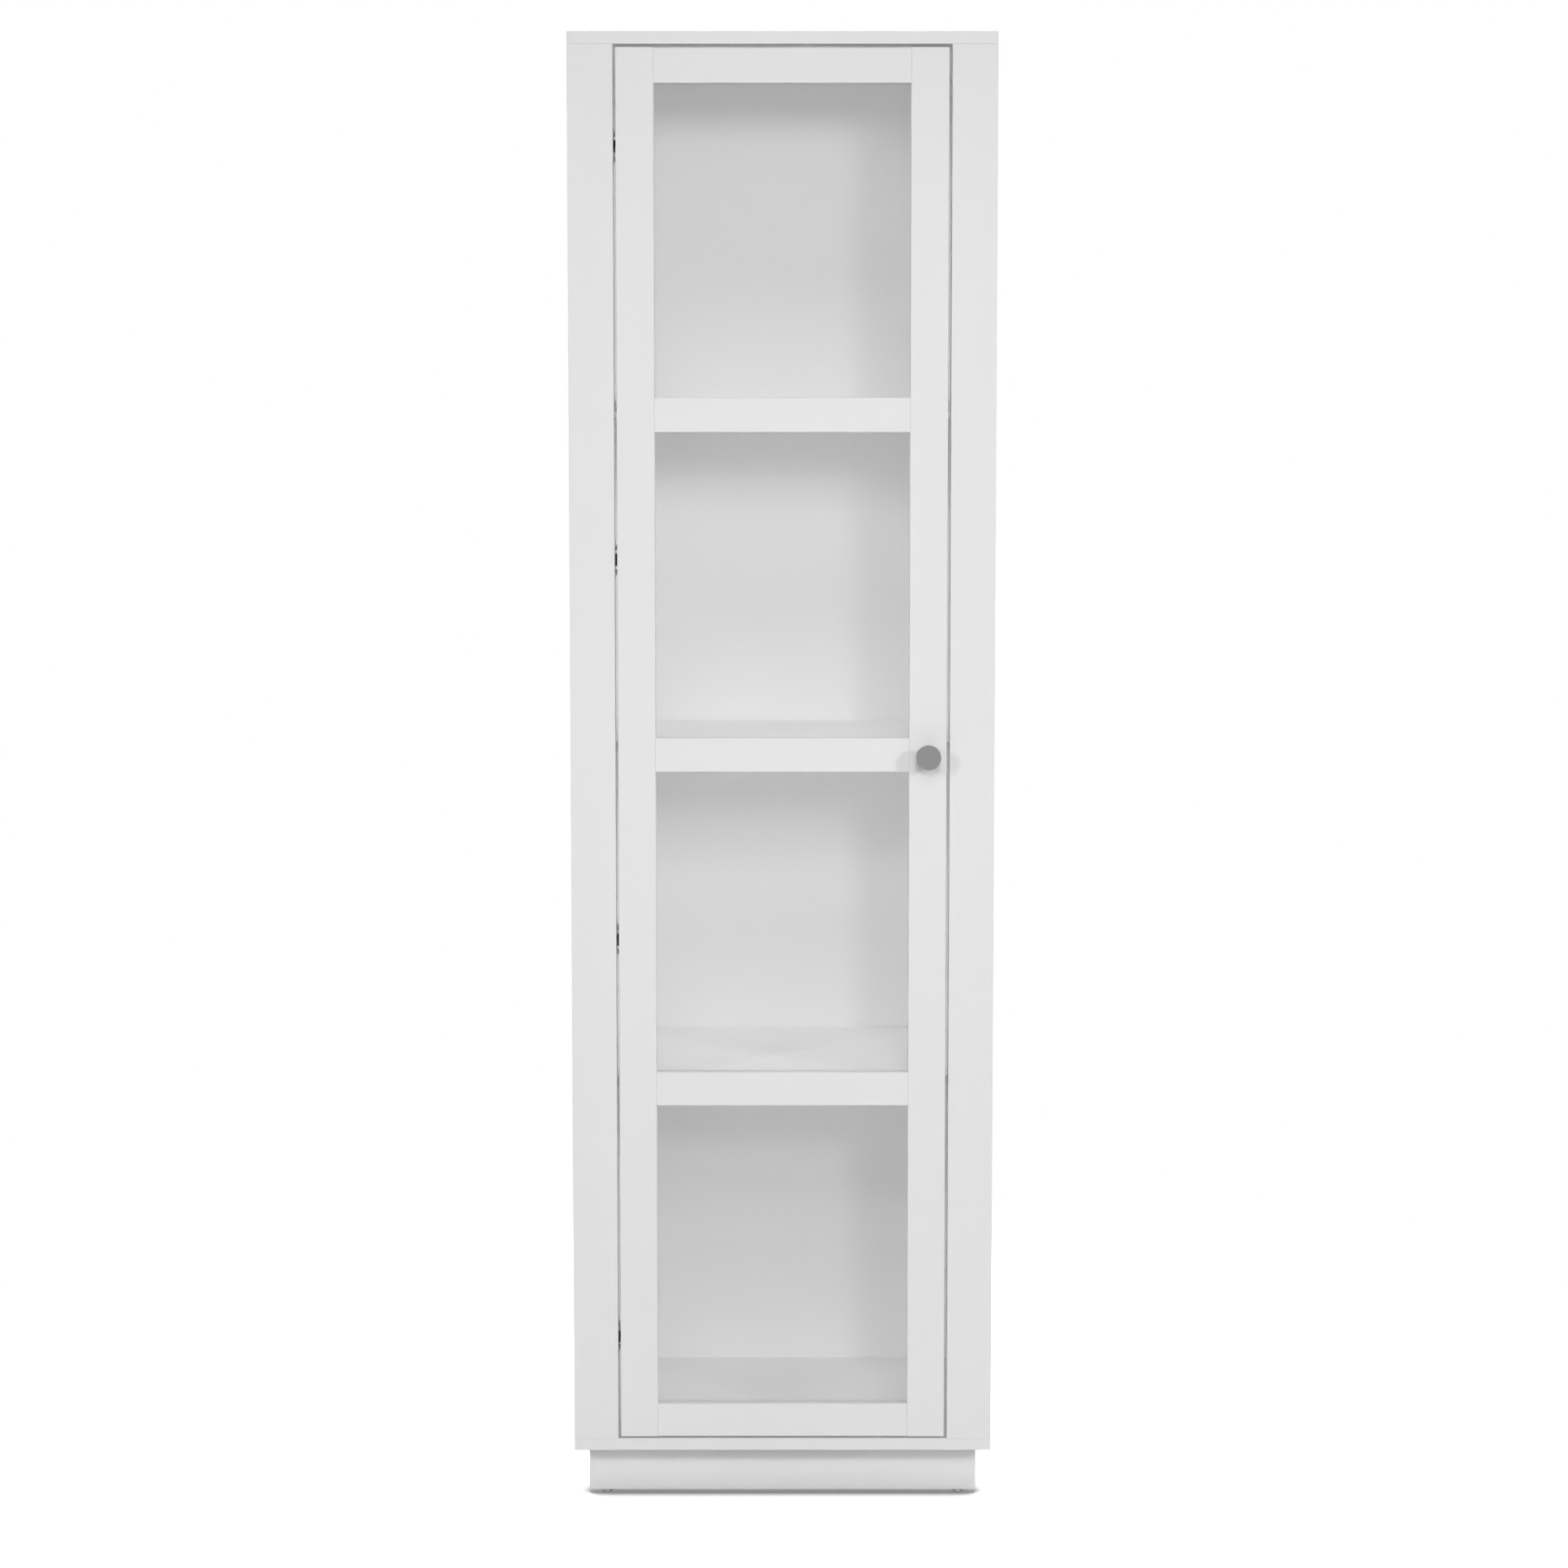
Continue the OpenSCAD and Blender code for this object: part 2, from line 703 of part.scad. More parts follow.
module door_rail_1() { door_rail(0); }
module door_rail_2() { door_rail(1); }
module door_rail_3() { door_rail(2); }
module door_rail_4() { door_rail(3); }
module door_rail_5() { door_rail(4); }

module door_dowels() {
    color(beech) from_front() door_dowel_places() rotate([0, 90, 0])
        cylinder(r = door_dowel_r, h = 2 * door_dowel_in, center = true);
}

module glass_pane(i) {
    bite = rebate_w - glass_gap;
    z0 = rail_z(i) + rail_h - bite;
    color(clear_glass) from_front() translate([rail_left - bite, glass_y, z0])
        cube([rail_len + 2 * bite, glass_t, rail_z(i + 1) + bite - z0]);
}

module glass_pane_1() { glass_pane(0); }
module glass_pane_2() { glass_pane(1); }
module glass_pane_3() { glass_pane(2); }
module glass_pane_4() { glass_pane(3); }

// One mitred glazing bead: its outer edge runs along X and it points inwards along Z
module bead(length) {
    w = rebate_w - bead_gap;
    intersection() {
        translate([0, bead_y, 0]) along_y(door_t - bead_y)
            polygon([[bead_gap, 0], [length - bead_gap, 0], [length - w - bead_gap, w], [w + bead_gap, w]]);
        along_x(length) polygon([
            [bead_y, 0], [door_t, 0], [door_t, w - bead_chamfer],
            [door_t - bead_chamfer, w], [bead_y, w]
        ]);
    }
}

// Four beads that hold one pane in its rebate
module glazing_beads(i) {
    bite = rebate_w - bead_gap;
    x0 = rail_left - bite;
    x1 = rail_right + bite;
    z0 = rail_z(i) + rail_h - bite;
    z1 = rail_z(i + 1) + bite;
    color(white_paint) from_front() {
        translate([x0, 0, z0]) bead(x1 - x0);
        translate([x1, 0, z1]) rotate([0, 180, 0]) bead(x1 - x0);
        translate([x0, 0, z1]) rotate([0, 90, 0]) bead(z1 - z0);
        translate([x1, 0, z0]) rotate([0, -90, 0]) bead(z1 - z0);
    }
}

module glazing_beads_1() { glazing_beads(0); }
module glazing_beads_2() { glazing_beads(1); }
module glazing_beads_3() { glazing_beads(2); }
module glazing_beads_4() { glazing_beads(3); }

// Pressed cup with a screwed flange, a slot for the arm and two cheeks that carry the pin
module hinge_cup(i) {
    color(nickel) from_front() at_hinge(i) difference() {
        union() {
            translate([cup_x, door_t - cup_depth, 0]) rotate([-90, 0, 0])
                cylinder(r = cup_r, h = cup_depth + cup_wall);
            translate([0, door_t, 0]) along_y(cup_wall) {
                translate([cup_x, 0]) circle(cup_r + cup_flange_w);
                translate([cup_screw_x - cup_ear_r, -cup_screw_pitch / 2])
                    square([2 * cup_ear_r, cup_screw_pitch]);
                for (z = [-cup_screw_pitch / 2, cup_screw_pitch / 2])
                    translate([cup_screw_x, z]) circle(cup_ear_r);
            }
            translate([cheek_x, cheek_y, -slot_h / 2 - cheek_t])
                cube([slot_x - cheek_x, door_t - cheek_y, slot_h + 2 * cheek_t]);
        }
        difference() {
            translate([cup_x, door_t - cup_depth + cup_wall, 0]) rotate([-90, 0, 0])
                cylinder(r = cup_r - cup_wall, h = door_t);
            translate([0, 0, -slot_h / 2 - cheek_t])
                cube([slot_x, door_t, slot_h + 2 * cheek_t]);
        }
        translate([-1, 0, -slot_h / 2]) cube([slot_x + 1, door_t * 2, slot_h]);
        cup_screw_places() rotate([-90, 0, 0]) drill_up(screw_r + fit_clear, cup_wall + 1);
        translate([pivot_in, pivot_deep, -pin_len]) cylinder(r = pin_r, h = 2 * pin_len);
    }
}

module hinge_cup_1() { hinge_cup(0); }
module hinge_cup_2() { hinge_cup(1); }
module hinge_cup_3() { hinge_cup(2); }
module hinge_cup_4() { hinge_cup(3); }

module hinge_cup_screws() {
    color(steel) from_front() for (i = [0 : 3]) at_hinge(i) cup_screw_places()
        translate([0, cup_wall, 0]) rotate([90, 0, 0]) pan_screw(screw_len, screw_r, screw_head_r);
}

module hinge_pins() {
    color(steel) from_front() for (i = [0 : 3]) at_hinge(i)
        translate([pivot_in, pivot_deep, -pin_len / 2]) cylinder(r = pin_r, h = pin_len);
}

// Points of a quarter circle from one angle to another, for turned profiles
function quarter(cx, cy, r, a0, a1) =
    [for (k = [0 : 8]) let (a = a0 + (a1 - a0) * k / 8) [cx + r * cos(a), cy + r * sin(a)]];

// Turned knob: foot, neck that flares into the head, and a flat face with an eased rim
module knob() {
    under = knob_reach - knob_head;
    back_rim_r = 1;
    color(nickel) from_front() translate([knob_x, 0, knob_z]) rotate([90, 0, 0]) difference() {
        rotate_extrude() polygon(concat(
            [[0, 0], [knob_foot_r, 0], [knob_foot_r, knob_foot_t], [neck_r, knob_foot_h]],
            quarter(neck_r + flare_r, under - flare_r, flare_r, 180, 90),
            quarter(knob_r - back_rim_r, under + back_rim_r, back_rim_r, -90, 0),
            quarter(knob_r - knob_rim_r, knob_reach - knob_rim_r, knob_rim_r, 0, 90),
            [[0, knob_reach]]
        ));
        drill_up(knob_screw_r + fit_clear, knob_screw_in + hole_end);
    }
}

module knob_screw() {
    color(steel) from_front() translate([knob_x, door_t, knob_z]) rotate([90, 0, 0])
        pan_screw(door_t + knob_screw_in, knob_screw_r, screw_head_r);
}

top_panel();
bottom_panel();
side_panel_left();
side_panel_right();
front_stile_left();
front_stile_right();
back_panel();
shelf_lower();
shelf_middle();
shelf_upper();
shelf_supports();
carcass_dowels();
plinth_front();
plinth_back();
plinth_side_left();
plinth_side_right();
plinth_corner_blocks();
plinth_screws();
glides();
hinge_blocks();
hinge_plates();
hinge_plate_screws();
hinge_arm_1();
hinge_arm_2();
hinge_arm_3();
hinge_arm_4();
hinge_arm_screws();
door_bumpers();
door_stile_hinge();
door_stile_knob();
door_rail_1();
door_rail_2();
door_rail_3();
door_rail_4();
door_rail_5();
door_dowels();
glass_pane_1();
glass_pane_2();
glass_pane_3();
glass_pane_4();
glazing_beads_1();
glazing_beads_2();
glazing_beads_3();
glazing_beads_4();
hinge_cup_1();
hinge_cup_2();
hinge_cup_3();
hinge_cup_4();
hinge_cup_screws();
hinge_pins();
knob();
knob_screw();
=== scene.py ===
"""Display cabinet: its finishes, its screws and turned fittings, and a plain studio round it.

Every size is in metres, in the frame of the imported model: X across the front, Y from front to
back, Z up.
"""

import json
import math

import bpy
import numpy as np
from bpy.props import FloatProperty, FloatVectorProperty, IntProperty, PointerProperty
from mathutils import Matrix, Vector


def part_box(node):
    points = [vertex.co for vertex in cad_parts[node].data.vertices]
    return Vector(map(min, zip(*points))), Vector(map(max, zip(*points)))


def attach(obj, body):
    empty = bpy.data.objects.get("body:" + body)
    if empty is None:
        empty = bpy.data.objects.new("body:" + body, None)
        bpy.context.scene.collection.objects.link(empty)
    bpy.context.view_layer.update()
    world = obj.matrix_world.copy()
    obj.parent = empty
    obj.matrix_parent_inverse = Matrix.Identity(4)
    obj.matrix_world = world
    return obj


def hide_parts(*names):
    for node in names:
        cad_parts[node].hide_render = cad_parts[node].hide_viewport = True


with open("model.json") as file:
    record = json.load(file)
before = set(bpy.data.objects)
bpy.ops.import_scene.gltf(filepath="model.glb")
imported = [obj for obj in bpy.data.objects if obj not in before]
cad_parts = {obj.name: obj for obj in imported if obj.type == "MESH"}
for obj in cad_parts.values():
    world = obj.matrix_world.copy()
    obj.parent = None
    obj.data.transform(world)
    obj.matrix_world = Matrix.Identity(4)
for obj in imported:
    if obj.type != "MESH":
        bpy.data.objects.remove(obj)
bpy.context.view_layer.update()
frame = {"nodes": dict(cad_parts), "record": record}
NODES = frame["nodes"]
SLOT_OF = {part["node"]: part["material_slot"] for part in frame["record"]["subparts"]}
CARCASS, DOOR = "carcass", "door"
SHELVES = ("shelf_lower", "shelf_middle", "shelf_upper")
# Height of a screw's head over its radius, and the radius of each screw's shank
HEAD_SHARE = 0.55
SHANK_RADIUS = {
    "plinth_screws": 0.00175,
    "hinge_plate_screws": 0.00175,
    "hinge_arm_screws": 0.0025,
    "hinge_cup_screws": 0.00175,
    "knob_screw": 0.002,
}
# Solids of one node that lie further apart than this are taken one by one
SOLIDS_APART = 0.006
# A turned piece is shaded smooth over edges that turn by less than this, in degrees
SMOOTH_ANGLE = 38
# A Mix node's sockets for colours go by number, because several of them share a name
MIX_FACTOR, MIX_FIRST, MIX_SECOND, MIX_RESULT = 0, 6, 7, 2

bl_info = {
    "name": "Display Cabinet",
    "version": (1, 0, 0),
    "blender": (4, 5, 0),
    "location": "3D View > Sidebar > Cabinet",
    "description": "Finishes, fittings and a studio for a tall display cabinet with a glazed door",
    "category": "Object",
}


def colour(name, default, description):
    """A linear colour property."""
    return FloatVectorProperty(
        name=name, description=description, default=default,
        size=3, min=0.0, max=1.0, subtype="COLOR",
    )


def length(name, default, description):
    """A length property, in metres."""
    return FloatProperty(
        name=name, description=description, default=default, min=0.0, unit="LENGTH"
    )


def share(name, default, description):
    """A property from nothing to all."""
    return FloatProperty(
        name=name, description=description, default=default, min=0.0, max=1.0, subtype="FACTOR"
    )


def number(name, default, description, lowest=0.0):
    """A plain number property."""
    return FloatProperty(name=name, description=description, default=default, min=lowest)


def degrees(name, default, description):
    """An angle property, whose default is given in degrees."""
    return FloatProperty(
        name=name, description=description, default=math.radians(default), subtype="ANGLE"
    )


class CabinetFinishes(bpy.types.PropertyGroup):
    """Colours and gloss of the surfaces."""

    paint: colour("Paint", (0.79, 0.79, 0.79), "White paint on the boards and the door")
    # The shelves' white is painted light: a brighter copy of the paint that stands in for light
    # inside the cabinet
    shelf_white_painted_light: colour("Shelf paint", (0.95, 0.95, 0.95), "Brighter white of the shelves")
    paint_gloss: share("Paint roughness", 0.42, "Roughness of the satin paint")
    # The back board's white is set brighter than the paint; part of that is painted light standing
    # in for light inside the cabinet
    back: colour("Back board", (0.95, 0.95, 0.95), "White face of the thin back board")
    glass: colour("Glass", (0.999, 0.999, 0.999), "What one face of a pane lets through")
    knob: colour("Knob", (0.30, 0.30, 0.30), "Satin nickel of the knob")
    nickel: colour("Hinges", (0.50, 0.50, 0.50), "Nickel plate on the hinges and shelf supports")
    steel: colour("Screws", (0.52, 0.52, 0.53), "Zinc plate on the screws")
    beech: colour("Beech", (0.72, 0.54, 0.35), "Bare beech of the dowels and corner blocks")
    plastic: colour("Glides", (0.62, 0.62, 0.62), "Pale hard plastic of the glides")
    silicone: colour("Bumpers", (0.82, 0.83, 0.83), "Milky silicone of the door bumpers")


class CabinetFittings(bpy.types.PropertyGroup):
    """Sizes of the turned and threaded fittings."""

    knob_foot: length("Knob foot", 0.009, "Radius of the knob's foot on the door")
    knob_neck: length("Knob neck", 0.006, "Radius of the knob's neck")
    knob_head: length("Knob head", 0.008, "Thickness of the knob's head")
    knob_crown: length("Knob crown", 0.0004, "Rise of the knob's face from its rim to its middle")
    knob_bore: length("Knob bore", 0.0145, "Depth of the hole for the knob's screw")
    recess: share("Recess", 0.56, "Reach of a screw's recess, as a share of its head's radius")
    recess_arm: share("Recess arm", 0.17, "Half width of its arms, as a share of the same radius")
    thread_pitch: length("Thread pitch", 0.0016, "Distance from one thread to the next")
    thread_depth: share("Thread depth", 0.2, "Its depth as a share of the shank's radius")
    round_steps: IntProperty(
        name="Steps round", description="Faces round a turned piece", default=48, min=16
    )


class CabinetStudio(bpy.types.PropertyGroup):
    """Camera, lamps and floor."""

    camera_place: FloatVectorProperty(
        name="Camera", description="Place of the camera", default=(0.0019, -4.187, 1.325),
        subtype="XYZ", unit="LENGTH",
    )
    camera_tilt: degrees("Tilt", 4.85, "How far the camera looks down")
    camera_lens: number("Lens", 71.6, "Focal length in millimetres", lowest=1.0)
    camera_shift: number("Shift", -0.02, "Upward shift of the frame", lowest=-1.0)
    bounces: IntProperty(
        name="Bounces", description="Times that light is passed on between the boards",
        default=8, min=1,
    )
    world_light: number("Room light", 0.02, "Even light from all round")
    lamp_beam: degrees("Beam", 130, "Full angle of each lamp's beam, which fades towards its rim")
    strip_light: number("Strips", 0.17, "Power of the strip under each shelf")
    strip_place: FloatProperty(
        name="Strip place", description="Place of the strips along Y", default=-0.10, unit="LENGTH"
    )
    strip_drop: length("Strip drop", 0.004, "Distance of the strips under the boards")
    floor_size: length("Floor", 40.0, "Width of the floor")
    floor_clear: length("Clear floor", 1.6, "Distance past which the floor is plain white")
    floor_tone: share("Floor tone", 0.85, "How much light the floor sends back")
    floor_lift: share("Floor lift", 0.85, "White added to the floor for the camera")
    # The contact shadow is painted shade: the floor's colour and white lift darken where the floor
    # is shut in
    contact: length("Contact shadow", 0.035, "Reach of the dark line under the plinth")
    painted_shade_front_share: share("Contact tone", 0.16, "Share of the floor's tone left before the plinth")
    painted_shade_side_share: share("Side tone", 0.72, "Share of the floor's tone left beside and behind it")


def node(tree, kind, **settings):
    """A shader node of that kind.

    A setting sets the node's property of that name, or else its input, whose spaces are
    written as _.
    """
    made = tree.nodes.new("ShaderNode" + kind)
    for key, value in settings.items():
        if hasattr(made, key):
            setattr(made, key, value)
        else:
            made.inputs[key.replace("_", " ")].default_value = value
    return made


def join(tree, *pairs):
    """Links every pair of sockets, from the first to the second."""
    for start, end in pairs:
        tree.links.new(start, end)


def worked(tree, operation, *values):
    """The result of a Math node on values that are sockets or numbers."""
    made = node(tree, "Math", operation=operation)
    for at, value in enumerate(values):
        if isinstance(value, bpy.types.NodeSocket):
            tree.links.new(value, made.inputs[at])
        else:
            made.inputs[at].default_value = value
    return made.outputs[0]


def cleared(owner):
    """The emptied node tree of a material or a world."""
    owner.use_nodes = True
    owner.node_tree.nodes.clear()
    return owner.node_tree


def begin(name):
    """A new material with a Principled shader as its surface."""
    material = bpy.data.materials.new(name)
    tree = cleared(material)
    shader = node(tree, "BsdfPrincipled")
    output = node(tree, "OutputMaterial")
    join(tree, (shader.outputs[0], output.inputs["Surface"]))
    return material, tree, shader, output


def noise(tree, scale, detail=2.0, stretch=(1.0, 1.0, 1.0)):
    """Noise on Object coordinates, stretched along the axes whose factor is small."""
    coordinates = node(tree, "TexCoord")
    turned = node(tree, "Mapping", Scale=stretch)
    pattern = node(tree, "TexNoise", Scale=scale, Detail=detail)
    join(tree, (coordinates.outputs["Object"], turned.inputs["Vector"]))
    join(tree, (turned.outputs[0], pattern.inputs["Vector"]))
    return pattern.outputs["Fac"]


def between(tree, factor, low=0.0, high=1.0):
    """A number that runs from low to high as factor runs from a quarter to three quarters."""
    spread = node(tree, "MapRange", From_Min=0.25, From_Max=0.75, To_Min=low, To_Max=high)
    join(tree, (factor, spread.inputs["Value"]))
    return spread.outputs[0]


def blended(tree, factor, first, second):
    """A colour that runs from first to second with factor."""
    mix = node(tree, "Mix", data_type="RGBA")
    mix.inputs[MIX_FIRST].default_value = (*first, 1.0)
    mix.inputs[MIX_SECOND].default_value = (*second, 1.0)
    join(tree, (factor, mix.inputs[MIX_FACTOR]))
    return mix.outputs[MIX_RESULT]


def mixed(tree, factor, first, second):
    """A shader that runs from first to second with factor."""
    mix = node(tree, "MixShader")
    join(tree, (factor, mix.inputs[0]), (first, mix.inputs[1]), (second, mix.inputs[2]))
    return mix.outputs[0]


def bumped(tree, shader, height, strength, distance):
    """Gives the shader a bump of that height pattern."""
    bump = node(tree, "Bump", Strength=strength, Distance=distance)
    join(tree, (height, bump.inputs["Height"]), (bump.outputs[0], shader.inputs["Normal"]))


def toned(tint, factor):
    """A colour made lighter or darker by one factor."""
    return tuple(min(1.0, part * factor) for part in tint)


def coloured(tree, shader, factor, tint, dark, light):
    """Gives the shader the tint, which runs from dark times it to light times it with factor."""
    shade = blended(tree, factor, toned(tint, dark), toned(tint, light))
    join(tree, (shade, shader.inputs["Base Color"]))


def glossed(tree, shader, pattern, roughness, swing):
    """Gives the shader a roughness that swings about its mean with the pattern."""
    gloss = between(tree, pattern, roughness - swing, roughness + swing)
    join(tree, (gloss, shader.inputs["Roughness"]))


def painted(name, tint, roughness):
    """Satin paint: a faint cloudiness in tone and gloss, and the fine orange peel of a spray."""
    material, tree, shader, _ = begin(name)
    cloud = between(tree, noise(tree, scale=3.5, detail=3.0))
    coloured(tree, shader, cloud, tint, dark=0.985, light=1.0)
    glossed(tree, shader, noise(tree, scale=14.0, detail=3.0), roughness, swing=0.04)
    bumped(tree, shader, noise(tree, scale=620.0), strength=0.10, distance=0.0002)
    return material


def plated(name, tint, roughness, grain):
    """Plated steel: fine lines drawn along one axis vary its tone, gloss and height."""
    material, tree, shader, _ = begin(name)
    shader.inputs["Metallic"].default_value = 1.0
    lines = noise(tree, scale=900.0, stretch=grain)
    coloured(tree, shader, between(tree, lines), tint, dark=0.9, light=1.08)
    glossed(tree, shader, noise(tree, scale=90.0, detail=3.0), roughness, swing=0.06)
    bumped(tree, shader, lines, strength=0.15, distance=0.0001)
    return material


def turned_metal(name, tint, roughness, middle):
    """Satin metal off a lathe: fine rings round an axis along Y through middle."""
    material, tree, shader, _ = begin(name)
    shader.inputs["Metallic"].default_value = 1.0
    coordinates = node(tree, "TexCoord")
    centred = node(tree, "Mapping", Location=(-middle[0], -middle[1], -middle[2]))
    rings = node(
        tree, "TexWave", wave_type="RINGS", rings_direction="Y", wave_profile="SIN",
        Scale=700.0, Distortion=1.5, Detail=2.0, Detail_Scale=3.0,
    )
    join(tree, (coordinates.outputs["Object"], centred.inputs["Vector"]))
    join(tree, (centred.outputs[0], rings.inputs["Vector"]))
    coloured(tree, shader, rings.outputs["Fac"], tint, dark=0.94, light=1.05)
    glossed(tree, shader, noise(tree, scale=300.0), roughness, swing=0.05)
    bumped(tree, shader, rings.outputs["Fac"], strength=0.12, distance=0.00005)
    return material


def bare_beech(name, tint, along):
    """Bare beech: pores and growth lines drawn out along the grain."""
    material, tree, shader, _ = begin(name)
    grain = noise(tree, scale=260.0, detail=4.0, stretch=along)
    pores = noise(tree, scale=1500.0, stretch=along)
    coloured(tree, shader, between(tree, grain), tint, dark=0.78, light=1.06)
    shader.inputs["Roughness"].default_value = 0.62
    bumped(tree, shader, pores, strength=0.35, distance=0.0002)
    return material


def moulded(name, tint, roughness):
    """Moulded plastic or rubber with a fine matt skin."""
    material, tree, shader, _ = begin(name)
    coloured(tree, shader, noise(tree, scale=120.0), tint, dark=0.95, light=1.03)
    glossed(tree, shader, noise(tree, scale=400.0), roughness, swing=0.05)
    bumped(tree, shader, noise(tree, scale=2500.0), strength=0.2, distance=0.00005)
    return material


def float_glass(name, tint):
    """Clear pane: it lets the light through, and mirrors more of it the flatter it is looked along.

    The mirrored share is small square on, and grows with the fifth power of how flat the line
    of sight is.
    """
    square_on, power = 0.04, 5.0
    material, tree, shader, output = begin(name)
    shader.inputs["Metallic"].default_value = 1.0
    shader.inputs["Base Color"].default_value = (1.0, 1.0, 1.0, 1.0)
    shader.inputs["Roughness"].default_value = 0.02
    through = node(tree, "BsdfTransparent", Color=(*tint, 1.0))
    facing = node(tree, "LayerWeight", Blend=0.5)
    steep = worked(tree, "POWER", facing.outputs["Facing"], power)
    mirrored = worked(tree, "MULTIPLY_ADD", steep, 1 - square_on, square_on)
    surface = mixed(tree, mirrored, through.outputs[0], shader.outputs[0])
    join(tree, (surface, output.inputs["Surface"]))
    return material


def dress(slot, material):
    """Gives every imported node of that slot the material."""
    found = [NODES[name] for name, its in SLOT_OF.items() if its == slot]
    if not found:
        raise RuntimeError(f"no node takes the finish {slot}")
    for obj in found:
        if not obj.data.materials:
            obj.data.materials.append(material)
        for at in range(len(obj.data.materials)):
            obj.data.materials[at] = material


def solids(name, axis):
    """Boxes of the node's separate solids, low and high corner each.

    The corners' places are sorted along each axis but the given one, and split wherever two
    neighbours are further apart than SOLIDS_APART.
    """
    flat = np.empty(len(NODES[name].data.vertices) * 3, np.float32)
    NODES[name].data.vertices.foreach_get("co", flat)
    groups = [flat.reshape(-1, 3).astype(float)]
    for across in (k for k in (2, 0, 1) if k != axis):
        parts = []
        for points in groups:
            points = points[np.argsort(points[:, across])]
            parts += np.split(points, np.flatnonzero(np.diff(points[:, across]) > SOLIDS_APART) + 1)
        groups = parts
    return [(points.min(0), points.max(0)) for points in groups]


def once_round(steps):
    """Even steps of an angle once round, from zero."""
    return np.arange(steps) * 2 * np.pi / steps


def turned_surface(radius, height):
    """Corners and faces of a surface round an axis, closed by a pole at each end.

    Ring j holds the points (radius[j] cos a, radius[j] sin a, height[j]) at even steps of the
    angle a, where radius and height may vary along the ring. The poles stand on the axis at the
    mean height of the end rings.
    """
    rings, steps = radius.shape
    angle = once_round(steps)
    points = np.stack([radius * np.cos(angle), radius * np.sin(angle), height], axis=-1)
    poles = np.array([[0.0, 0.0, height[0].mean()], [0.0, 0.0, height[-1].mean()]])
    at = np.arange(steps)
    after = (at + 1) % steps
    start = (np.arange(rings - 1) * steps)[:, None]
    corners = [start + at, start + after, start + steps + after, start + steps + at]
    quads = np.stack(corners, axis=-1).reshape(-1, 4)
    first, last = rings * steps, rings * steps + 1
    low = np.stack([after, at, np.full(steps, first)], axis=-1)
    high = np.stack([at, after, np.full(steps, last)], axis=-1)
    high[:, :2] += (rings - 1) * steps
    return np.concatenate([points.reshape(-1, 3), poles]), quads, np.concatenate([low, high])


def profile_surface(profile, steps):
    """Surface turned from a profile, a list of (radius, height) from one end to the other."""
    line = np.asarray(profile, float)
    around = np.ones(steps)
    return turned_surface(line[:, :1] * around, line[:, 1:] * around)


def arc(middle, radius, start, end, steps=8):
    """Points of an arc from one angle to another, in degrees."""
    angle = np.radians(np.linspace(start, end, steps))
    return list(zip(middle[0] + radius * np.cos(angle), middle[1] + radius * np.sin(angle)))


def place(surface, axis, origin):
    """A surface with its own Z turned on to the axis, moved to its origin.

    Its own X goes square to the axis and to X, or to Y where the axis lies along X.
    """
    points, quads, triangles = surface
    up = np.asarray(axis, float)
    side = np.cross(up, (1.0, 0.0, 0.0) if abs(up[0]) < 0.5 else (0.0, 1.0, 0.0))
    side /= np.linalg.norm(side)
    return points @ np.stack([side, np.cross(up, side), up]) + np.asarray(origin), quads, triangles


def volume(points, quads, triangles):
    """Six times the volume inside the faces, above zero when they point outwards."""
    fans = np.concatenate([quads[:, [0, 1, 2]], quads[:, [0, 2, 3]], triangles])
    first, second, third = points[fans].swapaxes(0, 1)
    return np.einsum("ij,ij->i", first, np.cross(second, third)).sum()


def build(name, surfaces, material, body, replaced):
    """One piece from closed surfaces, turned outwards, on its body and in its node's place."""
    all_points, all_faces, count = [], [], 0
    for points, quads, triangles in surfaces:
        if volume(points - points.mean(0), quads, triangles) < 0:
            quads, triangles = quads[:, ::-1], triangles[:, ::-1]
        all_points.append(points)
        all_faces += (quads + count).tolist() + (triangles + count).tolist()
        count += len(points)
    mesh = bpy.data.meshes.new(name)
    mesh.from_pydata(np.concatenate(all_points).tolist(), [], all_faces)
    mesh.materials.append(material)
    mesh.shade_smooth()
    mesh.set_sharp_from_angle(angle=math.radians(SMOOTH_ANGLE))
    piece = bpy.data.objects.new(name, mesh)
    bpy.context.scene.collection.objects.link(piece)
    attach(piece, body)
    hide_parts(replaced)


def cross_reach(angle, reach, arm):
    """Distance from the middle to the edge of a plus sign with arms of that reach and half width.

    It is the smaller of reach over the cosine and arm over the sine of the angle, which is
    folded on to the nearest arm.
    """
    folded = np.abs((angle + np.pi / 4) % (np.pi / 2) - np.pi / 4)
    least = 1e-6
    return np.minimum(reach / np.cos(folded), arm / np.maximum(np.sin(folded), least))


